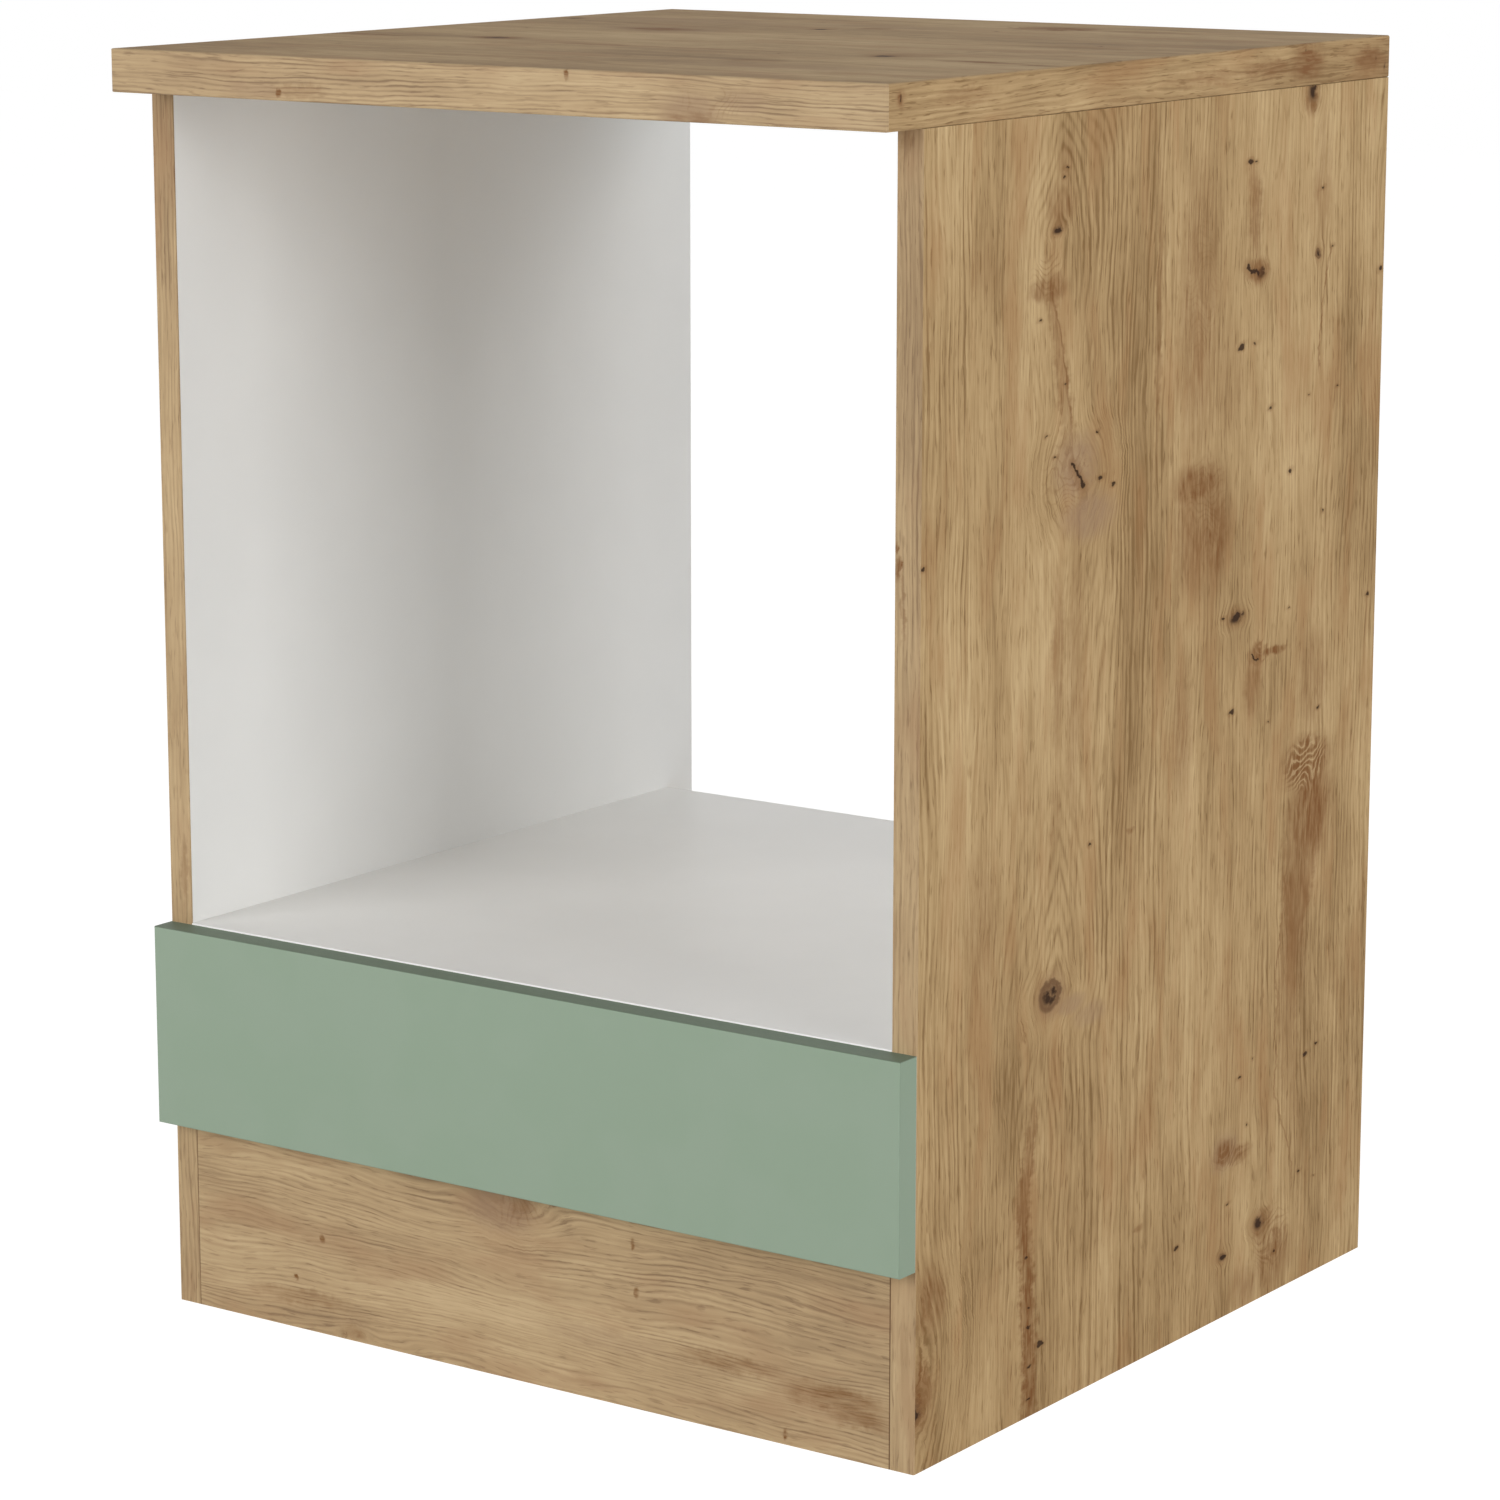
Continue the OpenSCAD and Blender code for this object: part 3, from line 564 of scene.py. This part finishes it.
def melamine(f, spot):
    """White melamine, as a colour and a relief: slightly cloudy, with a fine grain."""
    fine = f.node("ShaderNodeTexNoise", None, {"Vector": spot, "Scale": 1.6, "Detail": 2.0})
    cloudy = f.node("ShaderNodeTexNoise", None, {"Vector": spot, "Scale": 0.012, "Detail": 2.0})
    colour = f.blend(cloudy.above(0.3, 0.7), paint(246, 246, 244), paint(248, 248, 246))
    return colour, fine


def oak_board(name, along, across, figure, faced, paint_joint_shade=False):
    """A board with oak decor where faced says so, white melamine or raw chipboard elsewhere, and, if
    asked, a painted shade line where it meets the side panels.
    """
    f = Finish(name)
    spot, x, y, z = f.place()
    axis = {"x": x, "y": y, "z": z}
    colour, relief = oak(f, axis[along], axis[across], figure)
    raw, raw_relief = chipboard(f, x, y, z)
    white, white_relief = melamine(f, spot)
    oaken, whitened = faced(x, y, z)
    if paint_joint_shade:
        # Painted shade: a dark hairline at the plinth's ends, standing in for the shadow in its joint
        # with the side panels
        reach = ends("plinth")[1].x
        joint = abs(x).above(reach - JOINT_SHADE_WIDTH, reach - JOINT_SHADE_WIDTH + 0.3)
        colour = f.blend(joint * 0.75, colour, KNOT_RING)
    colour = f.blend(oaken, raw, colour)
    cut = 1.0 - oaken
    height = relief * oaken
    if whitened:
        colour = f.blend(whitened, colour, white)
        cut = cut - whitened
        height = height + white_relief * whitened * 0.1
    return f.surface(colour, cut * 0.14 + 0.78, height + raw_relief * cut, 0.12, 0.3,
                     Specular_IOR_Level=0.15)


def skin_below(place, face):
    """1 within the facing of a board whose face lies on the low side."""
    return place.below(face + SKIN - SKIN_FADE, face + SKIN)


def skin_above(place, face):
    """1 within the facing of a board whose face lies on the high side."""
    return place.above(face - SKIN, face - SKIN + SKIN_FADE)


def cut_below(place, face):
    """1 on a cut edge that faces the low side, and nowhere on the faces beside it."""
    return place.below(face + SKIN_FADE, face + 2 * SKIN_FADE)


def cut_above(place, face):
    """The same for a cut edge that faces the high side."""
    return place.above(face - 2 * SKIN_FADE, face - SKIN_FADE)


def side_faces(x, y, z):
    """Where a side panel shows oak, and where white."""
    low, high = ends("right_side_panel")
    return skin_above(abs(x), high.x), skin_below(abs(x), low.x)


def top_faces(x, y, z):
    """Where the worktop shows oak. It has no white face."""
    low, high = ends("worktop")
    return skin_above(z, high.z) + skin_below(z, low.z), None


def plinth_faces(x, y, z):
    """Where the plinth shows oak, and where white."""
    low, high = ends("plinth")
    return skin_below(y, low.y), skin_above(y, high.y)


def oak_strip(name, along, across, figure):
    """Edging with oak decor."""
    f = Finish(name)
    _, x, y, z = f.place()
    axis = {"x": x, "y": y, "z": z}
    colour, relief = oak(f, axis[along], axis[across], figure)
    return f.surface(colour, 0.72, relief, 0.12, 0.3, Specular_IOR_Level=0.25)


def white_board(name, raw_faces):
    """A board with white melamine faces. raw_faces tells where its cut edges show."""
    f = Finish(name)
    spot, x, y, z = f.place()
    white, white_relief = melamine(f, spot)
    raw, raw_relief = chipboard(f, x, y, z)
    cut = raw_faces(x, y, z)
    colour = f.blend(cut, white, raw)
    height = raw_relief * cut + white_relief * (1.0 - cut) * 0.1
    return f.surface(colour, cut * 0.4 + 0.42, height, 0.12, 0.3, Specular_IOR_Level=0.25)


def white_strip(name):
    """White edging, smoother than the boards' faces."""
    f = Finish(name)
    spot, *_ = f.place()
    white, relief = melamine(f, spot)
    return f.surface(f.blend(0.5, white, paint(249, 249, 248)), 0.34, relief, 0.05, 0.1)


SAGE = paint(142, 160, 140)
SAGE_LIGHT = paint(144, 161, 142)
SAGE_PAINTED_SHADE = paint(84, 98, 82)


def sage_lacquer(name):
    """Matt sage green lacquer in front and on the edges, white behind, with painted shade on its top
    and end faces.
    """
    f = Finish(name)
    spot, x, y, z = f.place()
    cloudy = f.node("ShaderNodeTexNoise", None, {"Vector": spot, "Scale": 0.02, "Detail": 2.0})
    peel = f.node("ShaderNodeTexNoise", None, {"Vector": spot, "Scale": 0.55, "Detail": 3.0})
    green = f.blend(cloudy.above(0.35, 0.65), SAGE, SAGE_LIGHT)
    # Painted shade: the top face darker, standing in for the shadow under the worktop's overhang
    painted_top_shade = skin_above(z, ends("fascia")[1].z)
    green = f.blend(painted_top_shade * 0.6, green, SAGE_PAINTED_SHADE)
    # Painted shade: the end faces a little darker, standing in for the lower light on them
    painted_end_shade = skin_above(abs(x), ends("fascia")[1].x)
    green = f.blend(painted_end_shade * 0.18, green, SAGE_PAINTED_SHADE)
    behind = cut_above(y, ends("fascia")[1].y)
    colour = f.blend(behind, green, paint(232, 231, 227))
    roughness = peel.above(0.3, 0.7) * 0.06 + 0.52
    return f.surface(colour, roughness, peel, 0.04, 0.12, Specular_IOR_Level=0.2)


def metal(name, tint, roughness, brushed):
    """Zinc, slightly cloudy, with fine marks. brushed is how many lie along x, y and z, per mm."""
    f = Finish(name)
    spot, *_ = f.place()
    marks = f.node("ShaderNodeTexNoise", None,
                   {"Vector": f.vector("MULTIPLY", spot, brushed), "Scale": 1.0, "Detail": 3.0})
    cloudy = f.node("ShaderNodeTexNoise", None, {"Vector": spot, "Scale": 0.25, "Detail": 2.0})
    colour = f.blend(cloudy.above(0.35, 0.7) * 0.5, tint, paint(150, 150, 148))
    return f.surface(colour, marks.above(0.3, 0.7) * 0.16 + roughness, marks, 0.03, 0.2,
                     Metallic=1.0)


def bare_beech(name):
    """Turned beech, with short dark rays along the dowel."""
    f = Finish(name)
    spot, *_ = f.place()
    rays = f.node("ShaderNodeTexNoise", None,
                  {"Vector": f.vector("MULTIPLY", spot, (0.25, 1.6, 1.6)), "Scale": 1.0,
                   "Detail": 3.0})
    colour = f.node("ShaderNodeValToRGB", {"stops": [
        (0.3, paint(190, 150, 108)), (0.5, paint(214, 180, 136)), (0.7, paint(226, 196, 156))]},
        {0: rays})
    return f.surface(colour, 0.7, rays, 0.08, 0.4)


materials = {
    "worktop": oak_board("worktop oak", "x", "y", WORKTOP_FACE, top_faces),
    "worktop_front_edging": oak_strip("worktop front strip", "x", "z", WORKTOP_FRONT),
    "worktop_left_edging": oak_strip("worktop left strip", "y", "z",
                                     replace(WORKTOP_SIDE, seed=27.3, cracks=())),
    "worktop_right_edging": oak_strip("worktop right strip", "y", "z", WORKTOP_SIDE),
    "left_side_panel": oak_board("left side oak", "z", "y", LEFT_SIDE, side_faces),
    "right_side_panel": oak_board("right side oak", "z", "y", RIGHT_SIDE, side_faces),
    "left_side_edging": oak_strip("left front strip", "z", "x", LEFT_EDGE),
    "right_side_edging": oak_strip("right front strip", "z", "x", RIGHT_EDGE),
    "plinth": oak_board("plinth oak", "x", "z", PLINTH_FACE, plinth_faces, True),
    "oven_shelf": white_board("shelf white",
                              lambda x, y, z: cut_above(y, ends("oven_shelf")[1].y)),
    "shelf_rear_rail": white_board("rear rail white",
                                   lambda x, y, z: cut_below(z, ends("shelf_rear_rail")[0].z)),
    "top_rear_rail": white_board("top rail white",
                                 lambda x, y, z: cut_above(y, ends("top_rear_rail")[1].y)),
    "oven_shelf_edging": white_strip("shelf strip white"),
    "top_rear_rail_edging": white_strip("rail strip white"),
    "fascia": sage_lacquer("sage front"),
}
zinc = metal("die-cast zinc", paint(176, 177, 178), 0.42, (0.8, 0.8, 0.8))
plated = metal("zinc plated steel", paint(196, 198, 200), 0.28, (0.3, 2.0, 0.9))
beech = bare_beech("beech")

for name, piece in nodes.items():
    if name in materials:
        finish = materials[name]
    elif name.endswith("dowels"):
        finish = beech
    elif name.endswith("cam_locks"):
        finish = zinc
    else:
        finish = plated
    piece.data.materials.clear()
    piece.data.materials.append(finish)

# The boards' edges are broken slightly, as a cut and edged board's are
for name in ("worktop", "left_side_panel", "right_side_panel", "oven_shelf", "plinth",
             "top_rear_rail", "shelf_rear_rail"):
    bevel = nodes[name].modifiers.new("broken edges", "BEVEL")
    bevel.width = EDGE_BREAK / MM_PER_METRE
    bevel.segments = 2
    bevel.limit_method = "ANGLE"
    bevel.angle_limit = math.radians(40)
    bevel.harden_normals = True


# Floor, light and camera

def seen_rays(f):
    """1 where a ray comes from the camera or from a gloss or glass that it sees."""
    rays = f.node("ShaderNodeLightPath").socket.node.outputs
    return largest(Value(f, rays[name]) for name in
                   ("Is Camera Ray", "Is Glossy Ray", "Is Transmission Ray"))


def floor_material():
    """White to the camera, and pale to the light, so that the object's shadow stays."""
    f = Finish("studio floor")
    seen = seen_rays(f)
    lit = f.node("ShaderNodeBsdfDiffuse", None, {"Color": (0.78, 0.78, 0.78, 1.0)})
    faint = f.node("ShaderNodeBsdfDiffuse", None, {"Color": (0.30, 0.30, 0.30, 1.0)})
    glow = f.node("ShaderNodeEmission", None, {"Color": (0.90, 0.90, 0.90, 1.0), "Strength": 1.0})
    white = f.node("ShaderNodeAddShader", None, {0: faint, 1: glow})
    f.node("ShaderNodeOutputMaterial", None,
           {"Surface": f.node("ShaderNodeMixShader", None, {0: seen, 1: lit, 2: white})})
    return f.material


FLOOR_REACH = 9.0       # from the middle to each of the floor's sides, m
floor_mesh = bpy.data.meshes.new("studio_floor")
floor_mesh.from_pydata([(x * FLOOR_REACH, y * FLOOR_REACH, 0)
                        for x, y in ((-1, -1), (1, -1), (1, 1), (-1, 1))], [], [(0, 1, 2, 3)])
floor = bpy.data.objects.new("studio_floor", floor_mesh)
bpy.context.scene.collection.objects.link(floor)
floor_mesh.materials.append(floor_material())


class Sky(Finish):
    """The world: white to the camera, and a soft light from the horizon for the rest."""

    def __init__(self):
        self.world = bpy.data.worlds.new("studio")
        bpy.context.scene.world = self.world
        self.world.use_nodes = True
        self.tree = self.world.node_tree
        self.tree.nodes.clear()
        direction = self.node("ShaderNodeTexCoord", output="Generated")
        up = self.node("ShaderNodeSeparateXYZ", inputs={0: direction}, output=2)
        light = self.node("ShaderNodeValToRGB", {"stops": [
            (0.15, (0.25, 0.25, 0.25, 1.0)), (0.50, (0.80, 0.80, 0.80, 1.0)),
            (0.72, (0.26, 0.26, 0.26, 1.0)), (0.90, (0.06, 0.06, 0.06, 1.0))]}, {0: up})
        colour = self.blend(seen_rays(self), light, (1.0, 1.0, 1.0, 1.0))
        shader = self.node("ShaderNodeBackground", None, {"Color": colour, "Strength": 1.0})
        self.node("ShaderNodeOutputWorld", None, {"Surface": shader})


Sky()


def softbox(name, place, size, power):
    """A lamp with a wide face, turned to the middle of the cabinet. place and size in m."""
    lamp = bpy.data.lights.new(name, "AREA")
    lamp.shape = "RECTANGLE"
    lamp.size, lamp.size_y = size
    lamp.energy = power
    piece = bpy.data.objects.new(name, lamp)
    piece.location = place
    piece.rotation_mode = "QUATERNION"
    piece.rotation_quaternion = (MIDDLE - Vector(place)).to_track_quat("-Z", "Y")
    bpy.context.scene.collection.objects.link(piece)
    piece.visible_camera = False


MIDDLE = Vector((0.0, 0.0, 0.45))
softbox("front softbox", (-1.6, -4.2, 1.5), (2.6, 2.2), 105)
softbox("right front softbox", (4.4, -1.5, 1.2), (1.4, 1.8), 66)
softbox("right rear softbox", (4.4, 1.5, 1.2), (1.4, 1.8), 41)
softbox("rear overhead softbox", (0.4, 2.6, 3.2), (2.6, 2.6), 18)

# The photograph's angle: how far the camera is turned to the left and tilted down
TURN = math.radians(35.34)
TILT = math.radians(11.58)
camera_data = bpy.data.cameras.new("camera")
camera = bpy.data.objects.new("camera", camera_data)
bpy.context.scene.collection.objects.link(camera)
bpy.context.scene.camera = camera
camera_data.sensor_width = 36.0
camera_data.lens = 116.26
camera.location = (1.851, -2.627, 1.033)
aim = Vector((-math.sin(TURN) * math.cos(TILT), math.cos(TURN) * math.cos(TILT), -math.sin(TILT)))
camera.rotation_mode = "QUATERNION"
camera.rotation_quaternion = aim.to_track_quat("-Z", "Y")
bpy.context.scene.view_settings.view_transform = "Standard"
